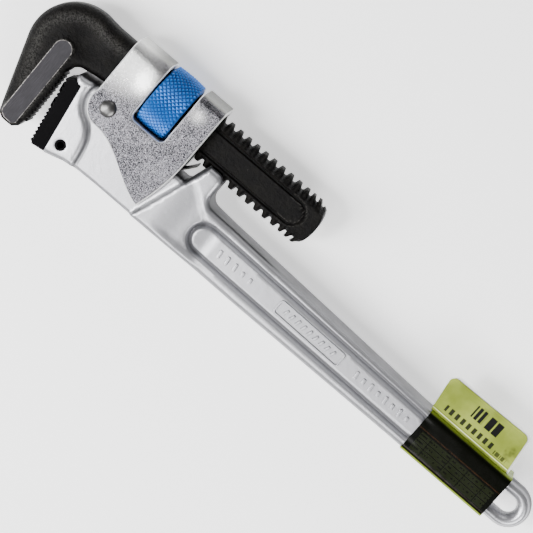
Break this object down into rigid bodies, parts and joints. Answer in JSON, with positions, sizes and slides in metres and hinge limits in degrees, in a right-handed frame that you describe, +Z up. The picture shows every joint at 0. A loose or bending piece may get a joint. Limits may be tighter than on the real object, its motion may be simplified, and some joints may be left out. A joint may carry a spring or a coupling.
{
  "type": "pipe wrench",
  "caption": "Adjustable pipe wrench with a toothed heel jaw, a hooked sliding jaw set by a knurled ring nut in a rocking frame, and a cast handle with a hanging eye.",
  "frame": {"origin": "middle of the underside of the box of the whole wrench, lying flat with its jaws closed", "axes": "+X along the shank towards the hanging eye, +Y from the handle towards the shank, +Z up through the thickness"},
  "size_m": [0.3164, 0.071, 0.0324],
  "materials": {
    "silver_paint": "satin silver paint on a casting",
    "jaw_black": "black oxide",
    "pin_black": "black oxide",
    "zinc": "zinc plated, matte and speckled",
    "rivet_steel": "polished",
    "forged_black": "blackened forging",
    "nut_blue": "blue coating on knurled steel",
    "spring_steel": "plain",
    "label_dark": "printed film",
    "label_green": "printed film",
    "label_back": "plain"
  },
  "bodies": {
    "handle": {"handle": "silver_paint", "heel_jaw": "jaw_black", "heel_jaw_pin": "pin_black", "leaf_spring": "spring_steel", "spring_rivet": "rivet_steel", "coil_spring": "spring_steel", "label_sleeve": "label_dark", "label_flag": "label_green", "label_flag_backing": "label_back"},
    "frame": {"frame": "zinc", "frame_rivet": "rivet_steel"},
    "nut": {"adjusting_nut": "nut_blue"},
    "hook": {"hook_jaw": "forged_black"}
  },
  "joints": [
    {"name": "frame_rock", "type": "hinge", "parent": "handle", "child": "frame", "pos_m": [-0.1065, 0.00135, 0.0162], "axis": [0, 0, 1], "range_deg": [0, 4], "stiffness_Nm_per_rad": 2},
    {"name": "nut_turn", "type": "hinge", "parent": "frame", "child": "nut", "pos_m": [-0.0873, 0.01935, 0.0162], "axis": [1, 0, 0], "range_deg": [-36.5, 3025]},
    {"name": "jaw_slide", "type": "slide", "parent": "frame", "child": "hook", "axis": [-1, 0, 0], "range_m": [-0.0005, 0.042]}
  ],
  "couplings": [
    {"joint": "nut_turn", "follows": "jaw_slide", "rad_per_m": 1256.6}
  ]
}
